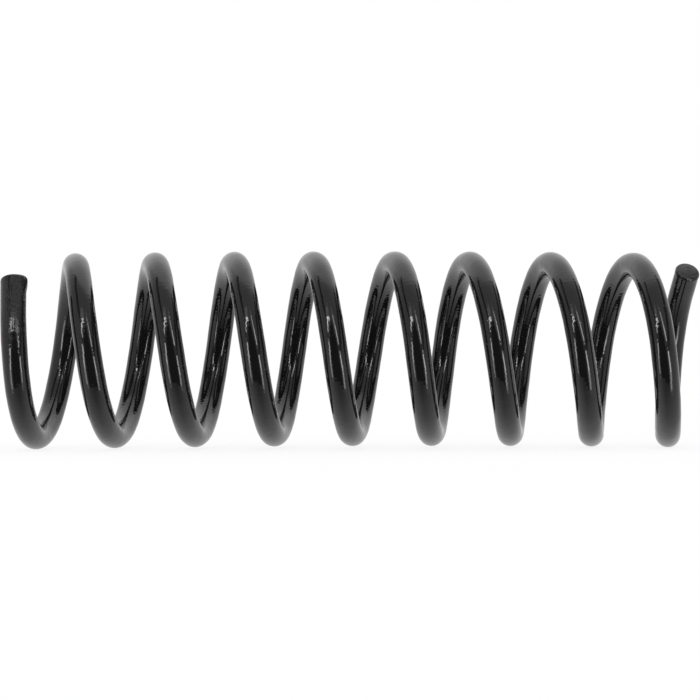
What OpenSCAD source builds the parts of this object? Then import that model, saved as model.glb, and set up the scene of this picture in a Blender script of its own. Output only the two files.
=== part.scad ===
// Coil spring of a car's suspension, wound from one round wire and coated black.
// It lies on its side, as it comes to rest: X runs along the coil's axis and Z is up.
// The origin is on the surface that it lies on, under the middle of the spring.
// An angle along the wire is counted in degrees from a top of the coil: 90 is at the front (-Y),
// 180 at the bottom and 270 at the back. The wire travels towards +X, as on a right-hand screw.

/* [Wire] */
// Diameter of the wire with its coating
wire_d = 12; // [8:0.5:16]
// Rounding that the coating leaves around each cut face
rim_round = 1.2; // [0.4:0.2:2.4]

/* [Coil] */
// Diameter of the coil, measured to the middle of the wire
coil_d = 82; // [60:0.5:140]
// Turns of bent wire between the two straight tails
bent_turns = 8.7; // [3:0.05:10]
// Travel along the axis in one turn of the working coils
pitch = 38.1; // [20:0.1:60]
// How much higher the middle of the spring stands than its ends, which it lies on
arch = 1.2; // [0:0.1:3]

/* [Left end] */
// Angle past the top at which the bend starts
left_bend_start = 63; // [0:1:90]
// Length of the straight tail, from the bend to the cut face
left_tail = 17.2; // [3:0.1:25]
// Travel along the axis per turn where the left tail meets the bend
left_pitch = 14; // [4:1:38]
// Angle over which the pitch opens from the left tail's to the working coils'
left_opening = 180; // [60:10:340]
// Lean of the left cut face: the wire is shorter on its +X side
left_cut_lean = 0; // [0:1:15]

/* [Right end] */
// Length of the straight tail, from the bend to the cut face
right_tail = 14.5; // [3:0.5:20]
// Travel along the axis per turn where the bend meets the right tail
right_pitch = 24; // [4:1:38]
// Angle over which the pitch closes from the working coils' to the right tail's
right_closing = 120; // [60:10:340]
// Lean of the right cut face: the wire is shorter on its +X side
right_cut_lean = 3; // [0:1:15]

/* [Unevenness of the winding] */
// How far the bottom after 2 turns and a half stands towards +X from its even place
bottom_2_shift = 0.5; // [-3:0.5:3]
// How far the bottom after 3 turns and a half stands towards +X from its even place
bottom_3_shift = 0.5; // [-3:0.5:3]
// How far the top after 5 turns stands towards +X from its even place
top_5_shift = 1; // [-3:0.5:3]
// How far the top after 6 turns stands towards +X from its even place
top_6_shift = -1; // [-3:0.5:3]
// How far the bottom after 7 turns and a half stands towards +X from its even place
bottom_7_shift = 1; // [-3:0.5:3]
// How far the top after 8 turns stands towards +X from its even place
top_8_shift = 2; // [-3:0.5:3]

/* [Facets] */
// Sides of the wire's round section
wire_sides = 20; // [12:2:22]
// Rings of points in one turn; a flat between two rings lies centred at each bottom
rings_per_turn = 30; // [18:2:32]

/* [Hidden] */

coating_colour = [0.07, 0.07, 0.075];
full_turn = 360;
bottom_angle = 180;
rim_steps = 2;

wire_r = wire_d / 2;
coil_r = coil_d / 2;
ring_step = full_turn / rings_per_turn;
bend_start = left_bend_start;
bend_end = bend_start + bent_turns * full_turn;
middle_angle = (bend_start + bend_end) / 2;
arch_reach = pitch * bent_turns / 2;

// Places where the winding is uneven: the turns from the first top, and the shift there
shifts = [
    [2.5, bottom_2_shift], [3.5, bottom_3_shift], [5, top_5_shift],
    [6, top_6_shift], [7.5, bottom_7_shift], [8, top_8_shift]
];

function sum(values) = values * [for (value = values) 1];
function clip(t) = min(1, max(0, t));

// Share of the pitch change still to come, from 1 at the tail to 0 where the pitch is full
function pitch_lag(t) = let (s = clip(t)) 1 - 3 * s * s + 2 * s * s * s;

// Area under pitch_lag from t to 1, which is the travel that the end coil saves
function travel_lag(t) = let (s = clip(t)) 1 / 2 - s + pow(s, 3) - pow(s, 4) / 2;

// Each shift fades out over half a turn to either side
function uneven(angle) = sum([
    for (shift = shifts)
        let (off = angle - shift[0] * full_turn)
            abs(off) < full_turn / 2 ? shift[1] * (1 + cos(off)) / 2 : 0
]);
function uneven_pitch(angle) = sum([
    for (shift = shifts)
        let (off = angle - shift[0] * full_turn)
            abs(off) < full_turn / 2 ? -PI * shift[1] * sin(off) : 0
]);

// Place along the axis and travel per turn of the wire's middle, at an angle of the bend
function travel(angle) =
    pitch * (angle - middle_angle) / full_turn
    + (pitch - left_pitch) * left_opening / full_turn * travel_lag((angle - bend_start) / left_opening)
    - (pitch - right_pitch) * right_closing / full_turn * travel_lag((bend_end - angle) / right_closing)
    + uneven(angle);
function local_pitch(angle) =
    pitch
    - (pitch - left_pitch) * pitch_lag((angle - bend_start) / left_opening)
    - (pitch - right_pitch) * pitch_lag((bend_end - angle) / right_closing)
    + uneven_pitch(angle);
function slope(angle) = atan(local_pitch(angle) / (PI * coil_d));

// The axis of the coil is a shallow arch: as it lies, it is highest in the middle
function lift(angle) = arch * (1 - pow(travel(angle) / arch_reach, 2));

// The wire's middle line, its direction, and the two directions across it:
// outwards from the axis, and sideways towards +X
function middle(angle) = [travel(angle), -coil_r * sin(angle), coil_r * cos(angle) + lift(angle)];
function along(angle) =
    let (lead = slope(angle)) [sin(lead), -cos(lead) * cos(angle), -cos(lead) * sin(angle)];
function outwards(angle) = [0, -sin(angle), cos(angle)];
function sideways(angle) =
    let (lead = slope(angle)) [cos(lead), sin(lead) * cos(angle), sin(lead) * sin(angle)];

// One ring of points: offset moves it along the wire, radius is its own, and lean tips it
// forwards on its +X side
function ring(angle, offset, radius, lean) = [
    for (side = [0 : wire_sides - 1])
        let (turn = full_turn * side / wire_sides)
            middle(angle)
            + radius * cos(turn) * outwards(angle)
            + radius * sin(turn) * sideways(angle)
            + (offset + tan(lean) * radius * sin(turn)) * along(angle)
];

// The rounded rim and the cut face of a tail: direction is -1 at the left end and 1 at the right
function tail_rings(angle, tail, direction, lean) = [
    for (step = [0 : rim_steps])
        let (round = 90 * step / rim_steps)
            ring(
                angle,
                direction * (tail - rim_round + rim_round * cos(round)),
                wire_r - rim_round + rim_round * sin(round),
                -direction * lean
            )
];

// Angles of the rings along the bend, with the flats centred at the bottoms of the coil
first_ring = ceil((bend_start - bottom_angle) / ring_step) + 1 / 2;
last_ring = floor((bend_end - bottom_angle) / ring_step) - 1 / 2;
bend_angles = concat(
    [bend_start],
    [for (count = [first_ring : last_ring]) bottom_angle + count * ring_step],
    [bend_end]
);

function reversed(rings) = [for (i = [len(rings) - 1 : -1 : 0]) rings[i]];
rings = concat(
    tail_rings(bend_start, left_tail, -1, left_cut_lean),
    [for (angle = bend_angles) ring(angle, 0, wire_r, 0)],
    reversed(tail_rings(bend_end, right_tail, 1, right_cut_lean))
);
wire_points = [for (one_ring = rings) each one_ring];

// Two triangles for each side between neighbouring rings, and a flat polygon at each cut
function wall_faces(ring_count) = [
    for (i = [0 : ring_count - 2], side = [0 : wire_sides - 1])
        let (
            here = i * wire_sides,
            next = here + wire_sides,
            beside = (side + 1) % wire_sides
        )
            each [
                [here + side, next + side, next + beside],
                [here + side, next + beside, here + beside]
            ]
];
function cut_faces(ring_count) = [
    [for (side = [0 : wire_sides - 1]) side],
    [for (side = [wire_sides - 1 : -1 : 0]) (ring_count - 1) * wire_sides + side]
];

// The box around the wire sets the frame: centred along X, and lying on Z = 0
x_places = [for (point = wire_points) point[0]];
axis_middle = (min(x_places) + max(x_places)) / 2;
lowest = min([for (point = wire_points) point[2]]);

module coil_spring() {
    color(coating_colour)
        translate([-axis_middle, 0, -lowest])
            polyhedron(
                points = wire_points,
                faces = concat(wall_faces(len(rings)), cut_faces(len(rings))),
                convexity = 20
            );
}

coil_spring();
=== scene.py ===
# %% [markdown]
# # A black suspension spring, lying on its side
#
# The real part is a single round steel wire, wound hot or cold around a mandrel, cut off at both ends and
# dipped or powder coated black. There is nothing to assemble, so the whole lesson is about two things: a wire
# whose shape is worked out exactly, and a thin glossy coating that shows the studio around it.
#
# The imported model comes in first. It fixes where the spring is, and the new mesh has to lie where it lies.
# It is in metres, so a size in millimetres is written as a number times mm.

# %% Load the frame
import math

import bmesh
import bpy
import numpy as np
from mathutils import Matrix, Vector


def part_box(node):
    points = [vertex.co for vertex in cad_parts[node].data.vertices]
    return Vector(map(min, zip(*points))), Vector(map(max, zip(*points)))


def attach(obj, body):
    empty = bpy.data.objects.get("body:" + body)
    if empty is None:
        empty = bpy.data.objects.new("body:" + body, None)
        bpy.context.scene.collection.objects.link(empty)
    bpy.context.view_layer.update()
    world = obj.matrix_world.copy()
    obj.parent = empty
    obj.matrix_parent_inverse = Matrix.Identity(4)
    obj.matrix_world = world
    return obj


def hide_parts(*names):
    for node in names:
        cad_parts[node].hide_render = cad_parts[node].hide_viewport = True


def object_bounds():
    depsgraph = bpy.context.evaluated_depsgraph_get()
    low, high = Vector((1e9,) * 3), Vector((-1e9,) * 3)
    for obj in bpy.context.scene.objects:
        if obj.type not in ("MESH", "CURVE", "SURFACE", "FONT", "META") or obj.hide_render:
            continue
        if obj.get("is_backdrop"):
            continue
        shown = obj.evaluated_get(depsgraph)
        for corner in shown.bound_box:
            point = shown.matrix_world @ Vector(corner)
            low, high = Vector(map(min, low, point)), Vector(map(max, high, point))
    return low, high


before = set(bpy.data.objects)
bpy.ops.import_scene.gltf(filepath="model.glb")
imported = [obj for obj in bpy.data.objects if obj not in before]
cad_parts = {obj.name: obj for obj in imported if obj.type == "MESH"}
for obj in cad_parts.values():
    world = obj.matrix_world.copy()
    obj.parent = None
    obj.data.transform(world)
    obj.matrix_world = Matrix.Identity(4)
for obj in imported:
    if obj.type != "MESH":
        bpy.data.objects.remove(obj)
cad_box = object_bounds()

mm = 0.001
spring_node = "coil_spring"
node_low, node_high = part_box(spring_node)
print("spring is", [round(side / mm, 1) for side in node_high - node_low], "mm")

# %% [markdown]
# ## The sizes of the wire and the coil
#
# A coiling machine is set up with the same few values: the wire, the coil's diameter, the travel per turn,
# and how the pitch changes at the ends, where the wire sits in the seats of the suspension. They could be
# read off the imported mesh, but a helix is much better made from its own sizes than from measured points.
# Angles along the wire are in degrees: 0 is a top of the coil, 90 is at the front and 180 at the bottom.

# %% Sizes
full_turn, half_turn = 360.0, 180.0
wire_radius = 6.0 * mm
coil_radius = 41.0 * mm
rim_round = 1.2 * mm
pitch = 38.1 * mm
arch = 1.2 * mm

bent_turns = 8.7
bend_start = 63.0
bend_end = bend_start + bent_turns * full_turn
left_tail, left_pitch, left_opening, left_lean = 17.2 * mm, 14 * mm, 180.0, 0.0
right_tail, right_pitch, right_closing, right_lean = 14.5 * mm, 24 * mm, 120.0, 3.0

# Where the winding is uneven: the turns from the first top, and how far it stands towards +X there
uneven_places = (
    (2.5, 0.5 * mm), (3.5, 0.5 * mm), (5, 1 * mm),
    (6, -1 * mm), (7.5, 1 * mm), (8, 2 * mm),
)
print("bend runs from", bend_start, "to", round(bend_end, 1), "degrees")

# %% [markdown]
# ## The middle line of the wire
#
# A plain helix moves along its axis in step with its angle. A real spring closes its pitch near the ends, so
# the travel is worked out as the travel of a plain helix less what the end coils save. The saving is the area
# under a smooth step, which has a short formula, so no sum over points is needed. Blender's Screw modifier
# could wind a circle too, but it can't change the pitch on the way.

# %% How far the wire has travelled at an angle
def smooth_fall(t):
    """1 for t up to 0, 0 for t from 1, and 1 - 3t^2 + 2t^3 between."""
    t = np.clip(t, 0, 1)
    return 1 - 3 * t**2 + 2 * t**3


def smooth_fall_area(t):
    """The area under smooth_fall from t to 1, which is 1/2 - t + t^3 - t^4/2."""
    t = np.clip(t, 0, 1)
    return 0.5 - t + t**3 - t**4 / 2


def travel(angle):
    """Place along the axis: pitch times turns, less what the end coils save, plus the uneven shifts.

    A shift is shift * (1 + cos(off)) / 2, where off is the angle from its own place. It fades out over half
    a turn to either side.
    """
    left_saving = (pitch - left_pitch) * left_opening / full_turn
    right_saving = (pitch - right_pitch) * right_closing / full_turn
    place = pitch * (angle - (bend_start + bend_end) / 2) / full_turn
    place = place + left_saving * smooth_fall_area((angle - bend_start) / left_opening)
    place = place - right_saving * smooth_fall_area((bend_end - angle) / right_closing)
    for turns, shift in uneven_places:
        off = angle - full_turn * turns
        place = place + np.where(abs(off) < half_turn, shift * (1 + np.cos(np.radians(off))) / 2, 0)
    return place


def local_pitch(angle):
    """Travel per turn at an angle, which is the slope of travel() times a full turn."""
    rate = pitch - (pitch - left_pitch) * smooth_fall((angle - bend_start) / left_opening)
    rate = rate - (pitch - right_pitch) * smooth_fall((bend_end - angle) / right_closing)
    for turns, shift in uneven_places:
        off = angle - full_turn * turns
        rate = rate - np.where(abs(off) < half_turn, math.pi * shift * np.sin(np.radians(off)), 0)
    return rate


tops = full_turn * np.arange(1, int(bent_turns) + 1)
print("tops of the coil at", np.round(travel(tops) / mm, 1), "mm")

# %% [markdown]
# The coil's axis isn't quite straight either. The spring rests on its two ends and is a little higher in the
# middle, and a parabola is near enough to that. From the travel and the lift follow the point at each angle
# and the three directions there. The directions come from the slope of the travel, because the arch is too
# shallow to turn them. A curve with a bevel would make a wire too, but it works its directions out by itself,
# and then nothing on the skin could be placed by its side, as the burr and the lip are further down.

# %% The wire's middle line and its directions
def lift(angle):
    """Height of the axis over its ends: a parabola, arch in the middle and 0 at half the bent length."""
    reach = pitch * (bend_end - bend_start) / (2 * full_turn)
    return arch * (1 - (travel(angle) / reach) ** 2)


def wire_frame(angle):
    """The middle line's point at each angle, and unit vectors along, outwards from and beside the wire.

    Middle is (travel, -coil_radius * sin, coil_radius * cos + lift). Flat and climb are the cosine and sine
    of the slope: along is (climb, -flat * cos, -flat * sin), outwards is (0, -sin, cos), and beside is
    (flat, climb * cos, climb * sin), which points towards +X.
    """
    turn = np.radians(angle)
    lead = np.arctan(local_pitch(angle) / (2 * math.pi * coil_radius))
    flat, climb = np.cos(lead), np.sin(lead)
    nothing = np.zeros_like(turn)
    height = coil_radius * np.cos(turn) + lift(angle)
    middle = np.stack([travel(angle), -coil_radius * np.sin(turn), height], axis=1)
    along = np.stack([climb, -flat * np.cos(turn), -flat * np.sin(turn)], axis=1)
    outwards = np.stack([nothing, -np.sin(turn), np.cos(turn)], axis=1)
    beside = np.stack([flat, climb * np.cos(turn), climb * np.sin(turn)], axis=1)
    return middle, along, outwards, beside


print("axis at the tops lies higher than at the ends by", np.round(lift(tops) / mm, 2), "mm")

# %% [markdown]
# ## The rings that the surface is stretched over
#
# The surface is a grid: one direction runs along the wire, the other around it. Each ring of the grid knows
# its place on the middle line, how far it is moved along the wire, its radius, and how much it leans. The two
# ends use the same grid: rings that shrink over the rounded rim and across the cut face, so that the wire,
# its rims and its faces are one closed skin, as the coating is. Flat caps with a Bevel modifier would close
# the wire as well, but these faces are slightly domed, and the right one is rounder than the left.

# %% Rings of the two ends
sides = 48
face_steps = 8
rim_steps = 7
tail_step = 1.0 * mm
left_dome, right_dome = 0.25 * mm, 0.5 * mm


def end_profile(tail, dome):
    """Rings from the middle of a cut face to the bend: how far out they lie, their radius, and how much of
    a ring is cut face.

    The face is a dome, tail + dome * (1 - share^2), where share is the way from its middle to the rim. The
    rim is a quarter circle, and the rest is straight.
    """
    flat_radius = wire_radius - rim_round
    share = np.linspace(1 / face_steps, 1, face_steps)
    face_out = tail + dome * (1 - share**2)
    round_angle = np.linspace(0, math.pi / 2, rim_steps + 1)[1:]
    rim_out = tail - rim_round * (1 - np.cos(round_angle))
    rim_radius = flat_radius + rim_round * np.sin(round_angle)
    straight = tail - rim_round
    straight_out = np.linspace(straight, 0, int(straight / tail_step) + 2)[1:-1]
    out = np.concatenate([face_out, rim_out, straight_out])
    radius = np.concatenate([flat_radius * share, rim_radius, np.full(len(straight_out), wire_radius)])
    # The look of the face fades out over the first half of the rim
    face_fade = smooth_fall(np.linspace(0, 2, rim_steps))
    on_face = np.concatenate([np.ones(face_steps), face_fade, 0 * straight_out])
    return out, radius, on_face


print("rings at the left end", len(end_profile(left_tail, left_dome)[0]))

# %% [markdown]
# The bend itself needs no profile, only a ring every two degrees with the wire's own radius. The left profile
# goes before it, and the right one goes after it, turned around, so that the columns run from cut to cut.
# The left cut is square to the wire. The right one leans by a few degrees, as a shear's blade leaves it.

# %% Rings of the whole wire
bend_step = 2.0


def whole_wire():
    """All rings from the left cut face to the right one, as one array for each thing that a ring knows.

    The offset is negative at the left end, 0 in the bend and positive at the right end. The lean is a slope
    that grows from 0 at the bend to its full value at the cut.
    """
    left_out, left_radius, left_face = end_profile(left_tail, left_dome)
    right_out, right_radius, right_face = end_profile(right_tail, right_dome)
    bend = np.arange(bend_start, bend_end + bend_step / 2, bend_step)
    plain = np.zeros_like(bend)
    lean_left = math.tan(math.radians(left_lean)) * left_out / left_tail
    lean_right = -math.tan(math.radians(right_lean)) * right_out / right_tail
    return {
        "angle": np.concatenate([0 * left_out + bend_start, bend, 0 * right_out + bend_end]),
        "offset": np.concatenate([-left_out, plain, right_out[::-1]]),
        "radius": np.concatenate([left_radius, plain + wire_radius, right_radius[::-1]]),
        "lean": np.concatenate([lean_left, plain, lean_right[::-1]]),
        "face": np.concatenate([left_face, plain, right_face[::-1]]),
    }


rings = whole_wire()
print("rings along the wire", len(rings["angle"]))

# %% [markdown]
# ## The surface
#
# A point of the surface is the ring's middle, moved out by the radius in a direction that turns around the
# wire. On top of that come five small things of the real part. The coating is a little thicker here and
# thinner there, which makes long reflections waver. It gathers to a low bead just behind each cut. The shear
# that cut the left end pressed the wire out into a burr on one side, the one towards +X, and drew the rim
# there out into a lip. And the cut faces are uneven, because the last of the wire broke off.
#
# They could be sculpted by hand. As formulas they keep a known height in millimetres, they can be switched
# off to measure the plain wire, and they come out the same on each run.

# %% Sizes of the small things
coat_waves = (
    # wave length along the wire, waves around it, height, start
    (43 * mm, 1, 0.03 * mm, 0.4),
    (23 * mm, 2, 0.02 * mm, 2.1),
    (13 * mm, -1, 0.012 * mm, 4.0),
    (8.3 * mm, 3, 0.008 * mm, 1.2),
)
# The bead: its height, how far behind the cut it lies, and how far it spreads
bead_height, bead_back, bead_spread = 0.12 * mm, 1.9 * mm, 0.7 * mm
# The burr: its height, how far it stays level, over what length it fades, and the power that narrows it
burr_height, burr_level, burr_fade, burr_power = 0.62 * mm, 3.2 * mm, 5.0 * mm, 4
# The lip: how far it is drawn out, over what length it fades, and the power that narrows it
lip_height, lip_fade, lip_power = 0.7 * mm, 5.0 * mm, 2
# The broken face: its height, the size of its hills across and up it, where they start, and finer steps
break_height = 0.10 * mm
hill_across, hill_up, hill_start = 0.9 * mm, 1.3 * mm, 1.3
step_up, step_share = 0.7 * mm, 0.6
print("the coating swells by up to", round(sum(wave[2] for wave in coat_waves) / mm, 3), "mm")

# %% Small things on the surface
def coating_swell(length, around):
    """Sum of a few waves that run along and around the wire."""
    swell = 0
    for wave, count, height, start in coat_waves:
        swell = swell + height * np.sin(2 * math.pi * length / wave + count * around + start)
    return swell


def hill(distance, width):
    """1 at distance 0, falling away as exp(-(distance / width)^2)."""
    return np.exp(-((distance / width) ** 2))


def beads(from_left, from_right):
    """A low ring behind each cut, which is a hill over the distance from the cut."""
    both = hill(from_left - bead_back, bead_spread) + hill(from_right - bead_back, bead_spread)
    return bead_height * both


def burr(from_left, around):
    """A bulge on the +X side of the left end: level, then a smooth fall, times sin(around)^power."""
    ridge = burr_height * smooth_fall((from_left - burr_level) / burr_fade)
    return ridge[:, None] * np.clip(np.sin(around), 0, 1)[None, :] ** burr_power


def lip(from_left, across):
    """How far the +X side of the left end is drawn out: a smooth fall times (across / radius)^power."""
    drawn = lip_height * smooth_fall(from_left / lip_fade)
    return drawn[:, None] * np.clip(across / wire_radius, 0, 1) ** lip_power


def broken_face(across, up):
    """Hills from two crossed waves, sin(across) * sin(up), with finer steps sin(up) on them."""
    hills = np.sin(across / hill_across + hill_start) * np.sin(up / hill_up)
    return break_height * (hills + step_share * np.sin(up / step_up))


print("a bead's share at the cut itself", round(float(hill(bead_back, bead_spread)), 4))

# %% [markdown]
# Now the grid can be filled. All rings and all sides are worked out at once, as arrays with one row for each
# ring, and no loop goes over the points. The function is called twice: first for the plain wire, which is the
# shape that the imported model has, and then with the small things on it.

# %% Points of the surface
def wire_surface(rings, detail):
    """Point = middle + up * outwards + across * beside + forward * along.

    Up and across are the radius times cos and sin of the way around the wire, and forward is the offset plus
    lean * across. Detail is 0 for the plain wire and 1 for the small things too. They add to the radius and
    to forward. The second result is the length along the middle of the wire at each ring.
    """
    middle, along, outwards, beside = wire_frame(rings["angle"])
    around = 2 * math.pi * np.arange(sides) / sides
    step = np.linalg.norm(np.diff(middle + rings["offset"][:, None] * along, axis=0), axis=1)
    length = np.concatenate([[0], np.cumsum(step)])
    from_left, from_right = length, length[-1] - length
    skin = (rings["radius"] / wire_radius)[:, None]

    swell = coating_swell(length[:, None], around[None, :])
    raised = swell + beads(from_left, from_right)[:, None] + burr(from_left, around)
    radius = rings["radius"][:, None] + detail * skin * raised

    up = radius * np.cos(around)
    across = radius * np.sin(around)
    forward = rings["offset"][:, None] + rings["lean"][:, None] * across
    end_side = np.sign(rings["offset"])[:, None]
    forward = forward - detail * end_side * rings["face"][:, None] * abs(broken_face(across, up))
    forward = forward - detail * lip(from_left, across)
    points = (
        middle[:, None, :]
        + up[..., None] * outwards[:, None, :]
        + across[..., None] * beside[:, None, :]
        + forward[..., None] * along[:, None, :]
    )
    return points, length


plain_points, length = wire_surface(rings, 0)
points, length = wire_surface(rings, 1)
print("length of the wire", round(length[-1], 3), "m")

# %% [markdown]
# ## From the grid to a mesh
#
# Every four neighbouring points make one face, and a single point closes the middle of each cut face. The
# wire also gets a UV map, with the length along it in one direction and the way around it in the other, and
# two attributes: how much of a point belongs to a cut face, and how near it is to an end. The finish uses all
# three. Faces could be added one by one with bmesh, but the grid's numbering is regular, so whole arrays of
# them come from one line each.

# %% Faces and UV map of the skin
def quad_places(ring_count):
    """The ring and the side at which each quad of the grid starts."""
    return np.meshgrid(np.arange(ring_count - 1), np.arange(sides), indexing="ij")


def skin_faces(ring_count):
    """Quads between rings, and at each end a fan of triangles to a middle point.

    A quad joins a point, the next one around, and the two that lie one ring further on. The middle points
    are numbered after the grid.
    """
    ring, side = quad_places(ring_count)
    here = ring * sides + side
    beside = ring * sides + (side + 1) % sides
    quads = np.stack([here, beside, beside + sides, here + sides], axis=-1).reshape(-1, 4)
    rim = np.arange(sides)
    next_rim = (rim + 1) % sides
    first_middle = ring_count * sides
    first = np.stack([np.full(sides, first_middle), next_rim, rim], axis=1)
    last_ring = (ring_count - 1) * sides
    last = np.stack([np.full(sides, first_middle + 1), last_ring + rim, last_ring + next_rim], axis=1)
    return quads.tolist() + first.tolist() + last.tolist()


def skin_uv(length):
    """For each corner of each face: u is the length along the wire, and v is the side / sides."""
    ring, side = quad_places(len(length))
    rim = np.arange(sides)
    u = np.stack([length[ring], length[ring], length[ring + 1], length[ring + 1]], axis=-1)
    v = np.stack([side, side + 1, side + 1, side], axis=-1) / sides
    first_v = np.stack([rim + 0.5, rim + 1, rim], axis=1) / sides
    last_v = np.stack([rim + 0.5, rim, rim + 1], axis=1) / sides
    u = np.concatenate([u.ravel(), np.zeros(first_v.size), np.full(last_v.size, length[-1])])
    v = np.concatenate([v.ravel(), first_v.ravel(), last_v.ravel()])
    return np.stack([u, v], axis=1).astype(np.float32)


print("faces of the skin", len(skin_faces(len(points))))

# %% [markdown]
# The grid was worked out around the coil's own axis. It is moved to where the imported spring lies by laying
# the middle of the plain wire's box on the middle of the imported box. The small things stay out of that,
# because a burr on one side would push the whole spring to the other.

# %% Build the skin
# How far from each cut it shows that the spring was held while the coating dried
handled_left, handled_right = 37 * mm, 2 * mm
plain_low = plain_points.reshape(-1, 3).min(axis=0)
plain_high = plain_points.reshape(-1, 3).max(axis=0)
axis_place = (np.array(node_low) + np.array(node_high)) / 2 - (plain_low + plain_high) / 2


def add_ring_attribute(mesh, title, values):
    """Gives each vertex its ring's value, and 1 to the middle of each cut face."""
    whole = np.concatenate([np.repeat(values, sides), (1, 1)]).astype(np.float32)
    mesh.attributes.new(title, "FLOAT", "POINT").data.foreach_set("value", whole)


def skin_mesh(name, points, length, rings):
    """One closed skin over the grid: the middle point of each end is the mean of its last ring."""
    caps = np.stack([points[0].mean(axis=0), points[-1].mean(axis=0)])
    vertices = np.concatenate([points.reshape(-1, 3), caps]) + axis_place
    mesh = bpy.data.meshes.new(name)
    mesh.from_pydata(vertices.tolist(), [], skin_faces(len(points)))
    mesh.polygons.foreach_set("use_smooth", np.ones(len(mesh.polygons), bool))
    mesh.uv_layers.new(name="wire").data.foreach_set("uv", skin_uv(length).ravel())
    near_end = hill(length, handled_left) + hill(length[-1] - length, handled_right)
    add_ring_attribute(mesh, "cut_face", rings["face"])
    add_ring_attribute(mesh, "near_end", near_end)
    mesh.update()
    return mesh


spring_mesh = skin_mesh("coil_spring_skin", points, length, rings)
spring = bpy.data.objects.new("coil_spring_skin", spring_mesh)
bpy.context.scene.collection.objects.link(spring)
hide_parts(spring_node)
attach(spring, "root")
print("skin moved by", np.round(axis_place / mm, 2), "mm")

# %% [markdown]
# ## Small helpers for node trees
#
# Every material here is made of nodes. They could be placed by hand in the shader editor, but a tree of a
# hundred nodes is easier to read as a recipe. These helpers add a node with its fixed values, join two nodes,
# and make the three kinds that come up most: sums and products, smooth steps, and noise.

# %% Node helpers
def add(tree, kind, **settings):
    """Adds a node of a kind. A setting is a property of the node, or else the value of one of its inputs."""
    node = tree.nodes.new(kind)
    for title, value in settings.items():
        if hasattr(node, title):
            setattr(node, title, value)
        else:
            node.inputs[title.replace("_", " ")].default_value = value
    return node


def join(tree, source, target):
    """Joins an output to an input."""
    tree.links.new(source, target)


def maths(tree, operation, first, second=None):
    """A Math node. Each input is a number or another node's output."""
    node = tree.nodes.new("ShaderNodeMath")
    node.operation = operation
    for socket, value in zip(node.inputs, (first, second)):
        if value is None:
            continue
        if isinstance(value, (int, float)):
            socket.default_value = value
        else:
            join(tree, value, socket)
    return node.outputs[0]


def ramp(tree, value, low, high, to_low=0.0, to_high=1.0):
    """A smooth step from to_low at low to to_high at high."""
    node = tree.nodes.new("ShaderNodeMapRange")
    node.interpolation_type = "SMOOTHSTEP"
    join(tree, value, node.inputs["Value"])
    node.inputs["From Min"].default_value = low
    node.inputs["From Max"].default_value = high
    node.inputs["To Min"].default_value = to_low
    node.inputs["To Max"].default_value = to_high
    return node.outputs["Result"]


def noise(tree, place, **settings):
    """A noise texture that is read at a place."""
    node = add(tree, "ShaderNodeTexNoise", **settings)
    join(tree, place, node.inputs["Vector"])
    return node.outputs[0]


print("node helpers", [helper.__name__ for helper in (add, join, maths, ramp, noise)])

# %% [markdown]
# ## The coating
#
# Black coating on a spring is glossy but never quite even: it has the soft dimples called orange peel, a few
# grains of dust under the skin, and faint ripples that wind around the wire, left by the rolls that
# straightened it. The colour could be painted, but a coating this dark has almost no colour of its own. What
# is seen is the studio in its gloss, so most of the work goes into the height that bends the reflections.
# The height is built in millimetres, from the object's own position and from the wire's UV map.

# %% A node group for the relief of a coating
# How far from its middle a grain stays high and where it ends, and the orange peel over which ripples come in
grain_top, grain_edge = 0.2, 0.8
ripples_from, ripples_to = 0.35, 0.6


def new_group(name, inputs, outputs):
    """An empty node group with its sockets, and the nodes that hold its inputs and outputs."""
    group = bpy.data.node_groups.new(name, "ShaderNodeTree")
    for title, kind, value in inputs:
        socket = group.interface.new_socket(title, in_out="INPUT", socket_type=kind)
        if value is not None:
            socket.default_value = value
    for title, kind in outputs:
        group.interface.new_socket(title, in_out="OUTPUT", socket_type=kind)
    return group, group.nodes.new("NodeGroupInput"), group.nodes.new("NodeGroupOutput")


def coating_relief():
    """Height in millimetres of orange peel, dust grains and wound ripples."""
    number = "NodeSocketFloat"
    group, given, result = new_group(
        "coating relief",
        [
            ("Place", "NodeSocketVector", None),
            ("Along", number, None),
            ("Around", number, None),
            ("Peel width", number, 2.6),
            ("Peel height", number, 0.045),
            ("Grain spacing", number, 7.0),
            ("Grain height", number, 0.06),
            ("Ripple length", number, 2.1),
            ("Ripple height", number, 0.009),
        ],
        [("Height", number)],
    )
    peel = add(group, "ShaderNodeTexNoise", Detail=1.5, Roughness=0.45)
    join(group, given.outputs["Place"], peel.inputs["Vector"])
    join(group, maths(group, "DIVIDE", 1.0, given.outputs["Peel width"]), peel.inputs["Scale"])
    dimples = maths(group, "MULTIPLY", peel.outputs[0], given.outputs["Peel height"])

    cells = add(group, "ShaderNodeTexVoronoi", Randomness=1.0)
    join(group, given.outputs["Place"], cells.inputs["Vector"])
    join(group, maths(group, "DIVIDE", 1.0, given.outputs["Grain spacing"]), cells.inputs["Scale"])
    distance = maths(group, "MULTIPLY", cells.outputs["Distance"], given.outputs["Grain spacing"])
    grains = ramp(group, distance, grain_top, grain_edge, 1.0, 0.0)
    grains = maths(group, "MULTIPLY", grains, given.outputs["Grain height"])

    # The ripples wind twice around the wire in one ripple length, and fade in and out with the orange peel
    turns = maths(group, "DIVIDE", given.outputs["Along"], given.outputs["Ripple length"])
    turns = maths(group, "ADD", turns, maths(group, "MULTIPLY", given.outputs["Around"], 2.0))
    wave = maths(group, "SINE", maths(group, "MULTIPLY", turns, 2 * math.pi))
    wave = maths(group, "MULTIPLY", wave, given.outputs["Ripple height"])
    wave = maths(group, "MULTIPLY", wave, ramp(group, peel.outputs[0], ripples_from, ripples_to))
    height = maths(group, "ADD", maths(group, "ADD", dimples, grains), wave)
    join(group, height, result.inputs["Height"])
    return group


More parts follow.
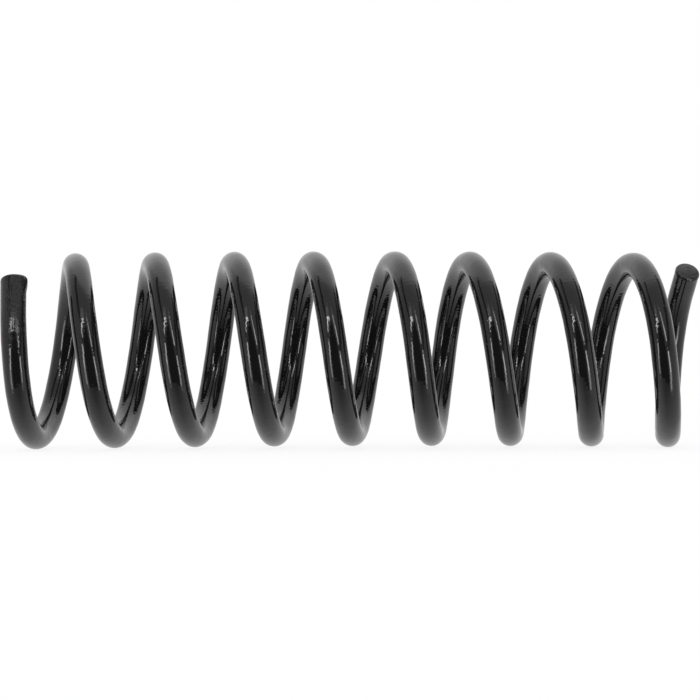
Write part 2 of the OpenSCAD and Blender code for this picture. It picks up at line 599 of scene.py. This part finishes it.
relief_group = coating_relief()
print("nodes in the coating's relief", len(relief_group.nodes))

# %% [markdown]
# The places that the relief and the marks are read at come from the mesh. Dimples and pits have no direction,
# so they are read at the object's own position. Streaks run along the wire, so they follow its UV map. Read
# straight off the map they would break where it starts again, so the way around is turned into a circle.

# %% Where the patterns of the coating are read
streak_density, streak_stretch = 8.0, 0.016


def coating_places(tree):
    """The position and the length along the wire, both in millimetres, and the way around from 0 to 1."""
    in_mm = add(tree, "ShaderNodeMapping")
    in_mm.inputs["Scale"].default_value = (1 / mm, 1 / mm, 1 / mm)
    join(tree, add(tree, "ShaderNodeTexCoord").outputs["Object"], in_mm.inputs["Vector"])
    wire = add(tree, "ShaderNodeSeparateXYZ")
    join(tree, add(tree, "ShaderNodeUVMap", uv_map="wire").outputs[0], wire.inputs[0])
    along = maths(tree, "MULTIPLY", wire.outputs["X"], 1 / mm)
    return in_mm.outputs[0], along, wire.outputs["Y"]


def streak_noise(tree, along, around):
    """Noise at (cos, sin, along * stretch), which closes around the wire and is drawn out along it."""
    turn = maths(tree, "MULTIPLY", around, 2 * math.pi)
    circle = add(tree, "ShaderNodeCombineXYZ")
    join(tree, maths(tree, "COSINE", turn), circle.inputs["X"])
    join(tree, maths(tree, "SINE", turn), circle.inputs["Y"])
    join(tree, maths(tree, "MULTIPLY", along, streak_stretch), circle.inputs["Z"])
    return noise(tree, circle.outputs[0], Scale=streak_density, Detail=1.0)


print("a streak is about", round(1 / (streak_density * streak_stretch), 1), "mm long")

# %% [markdown]
# Near the left end, where the spring was held while it dried, the coating is duller, pitted and streaked. At
# the right end that shows only just behind the cut. The cut faces are matt and a little dusty. One mask, from
# 0 to 1, says how worn a point is, and the pits, the streaks and the dust all take their share of it, so that
# they come together as they do on the real coating. One Bump node turns the whole height into a normal.

# %% The black coating
coating_black = (0.0063, 0.006, 0.0061, 1)
dust_grey = (0.018, 0.018, 0.018, 1)
# Roughness of the coating, of the coating where it was held, and what a cut face adds
glossy, handled_gloss, face_matt = 0.06, 0.11, 0.24
# Heights of the marks in millimetres, and the noise of pits and of patches, in waves per millimetre
pit_height, streak_height = 0.08, 0.19
pit_density, patch_density = 1.15, 0.3
# How much the patches break up the held part, and between which values it comes in
patch_share, held_from, held_to = 0.5, 0.55, 1.0
# How worn a cut face is, and how deep into the pits' noise dust lies
face_wear, dust_from, dust_to = 0.4, 0.4, 0.65


def black_coating():
    """Glossy black, duller and pitted where it was held, matt on the cut faces."""
    material = bpy.data.materials.new("black_coating")
    material.use_nodes = True
    tree = material.node_tree
    shader = tree.nodes["Principled BSDF"]
    shader.inputs["IOR"].default_value = 1.5

    place, along, around = coating_places(tree)
    relief = add(tree, "ShaderNodeGroup")
    relief.node_tree = relief_group
    join(tree, place, relief.inputs["Place"])
    join(tree, along, relief.inputs["Along"])
    join(tree, around, relief.inputs["Around"])

    near_end = add(tree, "ShaderNodeAttribute", attribute_name="near_end").outputs["Fac"]
    cut_face = add(tree, "ShaderNodeAttribute", attribute_name="cut_face").outputs["Fac"]
    pits = noise(tree, place, Scale=pit_density, Detail=2.0, Roughness=0.6)
    patches = noise(tree, place, Scale=patch_density, Detail=2.0)
    streaks = streak_noise(tree, along, around)

    held = maths(tree, "ADD", near_end, maths(tree, "MULTIPLY", patches, patch_share))
    held = ramp(tree, held, held_from, held_to)
    worn = maths(tree, "MAXIMUM", held, maths(tree, "MULTIPLY", cut_face, face_wear))
    marks = maths(tree, "MULTIPLY", pits, pit_height)
    marks = maths(tree, "ADD", marks, maths(tree, "MULTIPLY", streaks, streak_height))
    marks = maths(tree, "MULTIPLY", marks, worn)
    bump = add(tree, "ShaderNodeBump", Distance=mm)
    join(tree, maths(tree, "ADD", relief.outputs["Height"], marks), bump.inputs["Height"])
    join(tree, bump.outputs[0], shader.inputs["Normal"])

    colour = add(tree, "ShaderNodeMix", data_type="RGBA")
    colour.inputs["A"].default_value = coating_black
    colour.inputs["B"].default_value = dust_grey
    join(tree, maths(tree, "MULTIPLY", worn, ramp(tree, pits, dust_from, dust_to)), colour.inputs["Factor"])
    join(tree, colour.outputs["Result"], shader.inputs["Base Color"])

    roughness = ramp(tree, held, 0.0, 1.0, glossy, handled_gloss)
    roughness = maths(tree, "ADD", roughness, maths(tree, "MULTIPLY", cut_face, face_matt))
    join(tree, roughness, shader.inputs["Roughness"])
    return material


spring_mesh.materials.append(black_coating())
print("materials", [material.name for material in spring_mesh.materials])

# %% [markdown]
# ## The studio
#
# The spring was photographed in a light tent: white cloth all around, and an opening in front, where the
# camera looks in from a dark room. On a glossy black thing that is nearly all there is to see. The white
# cloth gives the grey of the flanks, the opening gives the black band down the middle of each front strand,
# and the lamps beside the opening draw the thin light lines along it.
#
# The tent could be sewn from planes and area lamps. Here it is a ball around the spring that only reflections
# can see. The camera looks through it at a plain white room, and the room lights the floor. The ball's cloth
# glows by the direction from its middle, given as an azimuth, 0 straight in front and growing to the right,
# and an elevation over the axis, so moving a lamp is changing two angles.

# %% A node group for a bar on the cloth
def shape_group(name, corners, widths):
    """A group that takes a place on the cloth and the corners of a shape, and gives a mask."""
    inputs = [("Place", "NodeSocketVector", None)]
    inputs += [(corner, "NodeSocketVector", None) for corner in corners]
    inputs += [(title, "NodeSocketFloat", value) for title, value in widths]
    return new_group(name, inputs, [("Mask", "NodeSocketFloat")])


def vector_maths(tree, operation, first, second=None, scale=None):
    """A Vector Math node between outputs. The result is its number for dot products and distances."""
    node = tree.nodes.new("ShaderNodeVectorMath")
    node.operation = operation
    join(tree, first, node.inputs[0])
    if second is not None:
        join(tree, second, node.inputs[1])
    if scale is not None:
        join(tree, scale, node.inputs["Scale"])
    gives_number = operation in ("DOT_PRODUCT", "DISTANCE")
    return node.outputs["Value" if gives_number else "Vector"]


def bar_group():
    """1 near the straight line between two places, falling to 0 at the edge of a bar of some width."""
    group, given, result = shape_group("bar", ["From", "To"], [("Half width", 6.0), ("Soft", 2.0)])
    place, start, stop = (given.outputs[title] for title in ("Place", "From", "To"))
    way = vector_maths(group, "SUBTRACT", stop, start)
    gone = vector_maths(group, "SUBTRACT", place, start)
    gone_along = vector_maths(group, "DOT_PRODUCT", gone, way)
    share = maths(group, "DIVIDE", gone_along, vector_maths(group, "DOT_PRODUCT", way, way))
    share = maths(group, "MINIMUM", maths(group, "MAXIMUM", share, 0.0), 1.0)
    nearest = vector_maths(group, "ADD", start, vector_maths(group, "SCALE", way, scale=share))
    away = vector_maths(group, "DISTANCE", place, nearest)
    inside = maths(group, "SUBTRACT", given.outputs["Half width"], away)
    inside = maths(group, "DIVIDE", inside, given.outputs["Soft"])
    join(group, ramp(group, inside, -1.0, 1.0), result.inputs["Mask"])
    return group


bar = bar_group()
print("nodes in a bar", len(bar.nodes))

# %% [markdown]
# A bar is enough for a lamp or a pole, but not for the opening, which is wide and has straight sides. Each
# side's line parts the cloth in two, and the opening is where the inner parts of all its sides overlap.

# %% A node group for an edge on the cloth
def edge_group():
    """1 to the left of the line from one place to another, falling to 0 to its right."""
    group, given, result = shape_group("edge", ["From", "To"], [("Soft", 2.0)])
    place, start, stop = (given.outputs[title] for title in ("Place", "From", "To"))
    way = vector_maths(group, "NORMALIZE", vector_maths(group, "SUBTRACT", stop, start))
    gone = vector_maths(group, "SUBTRACT", place, start)
    turned = vector_maths(group, "CROSS_PRODUCT", way, gone)
    apart = add(group, "ShaderNodeSeparateXYZ")
    join(group, turned, apart.inputs[0])
    inside = maths(group, "DIVIDE", apart.outputs["Z"], given.outputs["Soft"])
    join(group, ramp(group, inside, -1.0, 1.0), result.inputs["Mask"])
    return group


def shape(tree, group, place, start, stop, **values):
    """Puts one bar or edge on the cloth. Corners are given as (azimuth, elevation)."""
    node = add(tree, "ShaderNodeGroup")
    node.node_tree = group
    join(tree, place, node.inputs["Place"])
    node.inputs["From"].default_value = (*start, 0)
    node.inputs["To"].default_value = (*stop, 0)
    for title, value in values.items():
        node.inputs[title.replace("_", " ")].default_value = value
    return node.outputs["Mask"]


edge = edge_group()
print("nodes in an edge", len(edge.nodes))

# %% [markdown]
# The opening is an arch with slanted sides. Tall lamps stand to either side of it, and others lean over it
# along its shoulders. Poles and seams of the tent are dark lines: two thin poles part the lower lamps from
# the upper ones, and a wide seam runs up and back on each side. All angles are in degrees. They were chosen
# from where the lines and bands lie on the wire, which turns through every direction on its way.

# %% What hangs where in the tent
# The corners go around the opening against the clock, so that its inside is to the left of each side
opening = ((-41, -38), (36, -38), (24, 0), (20, 12), (4, 32), (-2, 32), (-24, 19), (-33, 0))
opening_soft, opening_glow = 1.5, 0.03
lamps = (
    # from, to, half width, soft edge, light
    ((-43, -1), (-50, -15), 3.7, 2.5, 7.2),
    ((-50, -15), (-56, -29), 5.2, 4.5, 3.6),
    ((40.5, -3.5), (46, -16), 4.0, 2.5, 8.4),
    ((46, -16), (48.5, -29), 6.0, 4.5, 4.0),
    ((-38.5, 15), (-33, 22), 2.1, 1.5, 7.5),
    ((-33, 22), (-26, 30), 2.0, 1.5, 14.0),
    ((-26, 30), (-13, 31.5), 2.1, 1.8, 10.5),
    ((34.5, 12.5), (29.5, 26), 3.2, 2.0, 7.5),
    ((29.5, 26), (22.5, 38), 3.2, 3.0, 4.4),
    # the glow around the lamps
    ((-50, -5), (-63, -25), 8.0, 8.0, 0.35),
    ((49, -10), (56, -28), 8.0, 8.0, 0.35),
    ((-30, 34), (-16, 42), 6.0, 6.0, 0.9),
    ((28, 32), (20, 43), 6.0, 6.0, 0.6),
)
# A light up to the first value is glow, which stops at the opening, and from the second it is a lamp
glow_up_to, lamp_from = 0.8, 2.0
poles = (
    # from, to, half width, soft edge, how dark
    ((-50, 7.5), (-28, 7.5), 1.5, 2.0, 0.6),
    ((26, 3.5), (50, 4.5), 1.5, 2.0, 0.6),
    ((-42, 31), (-60, 42), 6.0, 5.0, 0.93),
    ((-60, 42), (-94, 56), 6.0, 5.0, 0.93),
    ((52, 10), (71, 28), 6.5, 5.0, 0.93),
    ((71, 28), (108, 41), 6.5, 5.0, 0.93),
)
print("lamps and glows", len(lamps), "and dark lines", len(poles))

# %% [markdown]
# The bare cloth is brightest overhead, where the lamps shine on it, and darker above the opening. Straight
# behind the spring it is dimmer, and the floor of the tent darkens towards the opening and a little towards
# both sides. A picture of a real studio could light the scene as well, but it would be one more file, and no
# part of it could be moved by itself.

# %% The bare cloth
cloth_overhead, cloth_above_opening, cloth_at_back, cloth_straight_behind = 1.28, 0.57, 1.0, 0.67
# The roof's seam leans by this much, and the roof comes in as half a wide step and half a narrow one
roof_lean, roof_wide, roof_narrow = 1.5, (0.95, 1.6), (1.2, 1.45)
# The tent's floor: how far its dark front reaches around at the sides, its own fall there, and its step
floor_around, floor_fall, floor_step = 0.35, 0.25, (-1.25, 0.45)
# Half the height over which floor and wall mix, and how far behind it is dimmer
skirting, behind_step = 0.14, (0.6, 1.0)


def cloth(tree, direction):
    """Brightness of the bare cloth, as smooth steps of the direction (x, y, z), with y to the back."""
    apart = add(tree, "ShaderNodeSeparateXYZ")
    join(tree, direction, apart.inputs[0])
    x, y, z = apart.outputs

    # The roof ends in a seam that leans forwards: y + roof_lean * z is the same all along it
    towards_roof = maths(tree, "ADD", y, maths(tree, "MULTIPLY", z, roof_lean))
    roof = maths(tree, "ADD", ramp(tree, towards_roof, *roof_wide), ramp(tree, towards_roof, *roof_narrow))
    wall = ramp(tree, y, 0.0, 1.0, cloth_above_opening, cloth_at_back)
    above = add(tree, "ShaderNodeMix", B=cloth_overhead)
    join(tree, maths(tree, "MULTIPLY", roof, 0.5), above.inputs["Factor"])
    join(tree, wall, above.inputs["A"])

    inwards = maths(tree, "ADD", y, maths(tree, "MULTIPLY", maths(tree, "ABSOLUTE", x), floor_around))
    aside = maths(tree, "MULTIPLY", maths(tree, "MULTIPLY", x, x), floor_fall)
    below = maths(tree, "MULTIPLY", ramp(tree, inwards, *floor_step), maths(tree, "SUBTRACT", 1.0, aside))

    both = add(tree, "ShaderNodeMix")
    join(tree, ramp(tree, z, -skirting, skirting), both.inputs["Factor"])
    join(tree, below, both.inputs["A"])
    join(tree, above.outputs["Result"], both.inputs["B"])
    behind = ramp(tree, y, *behind_step, 1.0, cloth_straight_behind)
    return maths(tree, "MULTIPLY", both.outputs["Result"], behind)


print("cloth overhead", cloth_overhead, "above the opening", cloth_above_opening)

# %% [markdown]
# Everything is hung up in the order in which it hides what is behind it: first the bare cloth, then the dark
# lines on it, then the opening, which takes both away, and the lamps last. Where two lamps overlap, the
# brighter one counts, because adding them would leave a bright knot at each joint.

# %% Everything on the cloth
def place_on_cloth(tree, direction):
    """(azimuth, elevation) in degrees: the arctangent of x over -y, and the arcsine of z."""
    apart = add(tree, "ShaderNodeSeparateXYZ")
    join(tree, direction, apart.inputs[0])
    x, y, z = apart.outputs
    azimuth = maths(tree, "DEGREES", maths(tree, "ARCTAN2", x, maths(tree, "MULTIPLY", y, -1.0)))
    both = add(tree, "ShaderNodeCombineXYZ")
    join(tree, azimuth, both.inputs["X"])
    join(tree, maths(tree, "DEGREES", maths(tree, "ARCSINE", z)), both.inputs["Y"])
    return both.outputs[0]


def opening_mask(tree, place):
    """1 inside the opening: the product of one edge for each of its sides."""
    mask = None
    for start, stop in zip(opening, opening[1:] + opening[:1]):
        inside = shape(tree, edge, place, start, stop, Soft=opening_soft)
        mask = inside if mask is None else maths(tree, "MULTIPLY", mask, inside)
    return mask


def lamp_light(tree, place):
    """The brightest of all lamps and glows at a place."""
    light = 0.0
    for start, stop, half_width, soft, strength in lamps:
        lamp = shape(tree, bar, place, start, stop, Half_width=half_width, Soft=soft)
        light = maths(tree, "MAXIMUM", light, maths(tree, "MULTIPLY", lamp, strength))
    return light


def tent_light():
    """Cloth times (1 - each pole) times (1 - opening), plus the opening's glow and the lamps."""
    material = bpy.data.materials.new("tent_light")
    material.use_nodes = True
    tree = material.node_tree
    tree.nodes.clear()
    direction = vector_maths(tree, "NORMALIZE", add(tree, "ShaderNodeTexCoord").outputs["Object"])
    place = place_on_cloth(tree, direction)

    light = cloth(tree, direction)
    for start, stop, half_width, soft, dark in poles:
        pole = shape(tree, bar, place, start, stop, Half_width=half_width, Soft=soft)
        pole = maths(tree, "MULTIPLY", pole, dark)
        light = maths(tree, "MULTIPLY", light, maths(tree, "SUBTRACT", 1.0, pole))
    hole = opening_mask(tree, place)
    light = maths(tree, "MULTIPLY", light, maths(tree, "SUBTRACT", 1.0, hole))
    light = maths(tree, "ADD", light, opening_glow)
    glare = lamp_light(tree, place)
    # The glow doesn't reach into the dark of the opening
    hidden = maths(tree, "MULTIPLY", hole, ramp(tree, glare, glow_up_to, lamp_from, 1.0, 0.0))
    glare = maths(tree, "MULTIPLY", glare, maths(tree, "SUBTRACT", 1.0, hidden))
    light = maths(tree, "ADD", light, glare)

    glow = add(tree, "ShaderNodeEmission", Color=(1, 1, 1, 1))
    join(tree, light, glow.inputs["Strength"])
    join(tree, glow.outputs[0], add(tree, "ShaderNodeOutputMaterial").inputs["Surface"])
    material.cycles.emission_sampling = "NONE"
    return material


tent_material = tent_light()
print("nodes on the cloth", len(tent_material.node_tree.nodes))

# %% [markdown]
# The ball is about as large as a real light tent. That it is so near matters: the lines of the lamps shift a
# little from one coil to the next, and if the same picture were on the world, infinitely far away, they would
# not. Only reflections see the ball, so it throws neither light nor shadow on the floor. The room around it
# is a plain white world.

# %% The tent and the room
tent_radius = 0.65
axis_height = Vector((*axis_place[:2], axis_place[2] + arch))


def tent():
    """A ball of cloth around the middle of the coil, seen by reflections alone."""
    mesh = bpy.data.meshes.new("tent")
    ball = bmesh.new()
    bmesh.ops.create_uvsphere(ball, u_segments=96, v_segments=48, radius=tent_radius)
    ball.to_mesh(mesh)
    ball.free()
    mesh.materials.append(tent_material)
    made = bpy.data.objects.new("tent", mesh)
    made.location = axis_height
    bpy.context.scene.collection.objects.link(made)
    made.visible_camera = False
    made.visible_diffuse = False
    made.visible_transmission = False
    made.visible_volume_scatter = False
    made.visible_shadow = False
    made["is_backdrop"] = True
    return made


def white_room():
    """A world of plain white at a strength of 1, so that a colour renders about as it is written."""
    world = bpy.data.worlds.new("white_room")
    world.use_nodes = True
    background = world.node_tree.nodes["Background"]
    background.inputs["Color"].default_value = (1, 1, 1, 1)
    background.inputs["Strength"].default_value = 1.0
    return world


tent()
bpy.context.scene.world = white_room()
print("tent is", 2 * tent_radius, "m across")

# %% [markdown]
# ## The floor
#
# The floor is white paper. It has to read as white, like the room behind it, and still keep a soft shadow
# under the spring. More light would wash the shadow out, so what the camera sees is part plain white and part
# lit paper. Reflections go through it to the lower half of the tent, and from below it can't be seen.

# %% Floor
floor_size = 3.0
paper_share = 0.12
floor_height = float(plain_low[2] + axis_place[2])


def paper():
    """White that glows, mixed with a share of lit paper, and clear to reflections and from below."""
    material = bpy.data.materials.new("white_paper")
    material.use_nodes = True
    tree = material.node_tree
    tree.nodes.clear()
    lit = add(tree, "ShaderNodeBsdfDiffuse", Color=(1, 1, 1, 1))
    white = add(tree, "ShaderNodeEmission", Color=(1, 1, 1, 1), Strength=1.0)
    clear = add(tree, "ShaderNodeBsdfTransparent")
    path = add(tree, "ShaderNodeLightPath")
    sheet = add(tree, "ShaderNodeNewGeometry")
    seen = add(tree, "ShaderNodeMixShader")
    seen.inputs[0].default_value = paper_share
    join(tree, white.outputs[0], seen.inputs[1])
    join(tree, lit.outputs[0], seen.inputs[2])
    whole = add(tree, "ShaderNodeMixShader")
    through = maths(tree, "MAXIMUM", path.outputs["Is Glossy Ray"], sheet.outputs["Backfacing"])
    join(tree, through, whole.inputs[0])
    join(tree, seen.outputs[0], whole.inputs[1])
    join(tree, clear.outputs[0], whole.inputs[2])
    join(tree, whole.outputs[0], add(tree, "ShaderNodeOutputMaterial").inputs["Surface"])
    return material


def floor():
    """One square sheet, level with the lowest point of the plain wire."""
    half = floor_size / 2
    low = floor_height
    corners = [(-half, -half, low), (half, -half, low), (half, half, low), (-half, half, low)]
    mesh = bpy.data.meshes.new("floor")
    mesh.from_pydata(corners, [], [(0, 1, 2, 3)])
    mesh.materials.append(paper())
    made = bpy.data.objects.new("floor", mesh)
    bpy.context.scene.collection.objects.link(made)
    made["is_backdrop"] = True
    return made


floor()
print("floor lies at", round(floor_height / mm, 3), "mm")

# %% [markdown]
# ## The camera
#
# The photograph was taken from straight in front, level with the spring's axis, from a little over a metre
# away. The distance shows in how much thinner the far strands look than the near ones, and a small turn and
# tilt show in how the row of tops runs. A camera could be aimed at an empty object, but a camera is only a
# position and three directions, so its matrix is written down from them.

# %% Camera
camera_distance = 1.0896
camera_turn = 0.0243
camera_tilt = 0.0021
aim_left, aim_low = 2.32 * mm, 0.62 * mm
picture_pixels, focal_pixels = 700, 2257.7


def camera():
    """Right and up are turned by the tilt, and the place is the axis less the aim and the distance."""
    data = bpy.data.cameras.new("camera")
    data.sensor_width = 36.0
    data.lens = data.sensor_width * focal_pixels / picture_pixels
    made = bpy.data.objects.new("camera", data)
    bpy.context.scene.collection.objects.link(made)
    forward = Vector((math.sin(camera_turn), math.cos(camera_turn), 0))
    right = Vector((math.cos(camera_turn), -math.sin(camera_turn), 0))
    up = Vector((0, 0, 1))
    right, up = (
        math.cos(camera_tilt) * right - math.sin(camera_tilt) * up,
        math.sin(camera_tilt) * right + math.cos(camera_tilt) * up,
    )
    place = axis_height - aim_left * right - aim_low * up - camera_distance * forward
    made.matrix_world = Matrix((right, up, -forward)).transposed().to_4x4()
    made.matrix_world.translation = place
    bpy.context.scene.camera = made
    return made


lens = camera().data.lens
bpy.context.scene.view_settings.view_transform = "Standard"
print("camera is", camera_distance, "m away, with a lens of", round(lens, 1), "mm")

# %% [markdown]
# ## The last checks
#
# The new skin has to fill the box of the imported spring. How far the corners of the two boxes lie apart is
# printed.

# %% Sizes
new_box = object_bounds()
corner_gaps = [max(abs(a - b) for a, b in zip(*pair)) for pair in zip(cad_box, new_box)]
print("off by", [round(gap / mm, 2) for gap in corner_gaps], "mm")
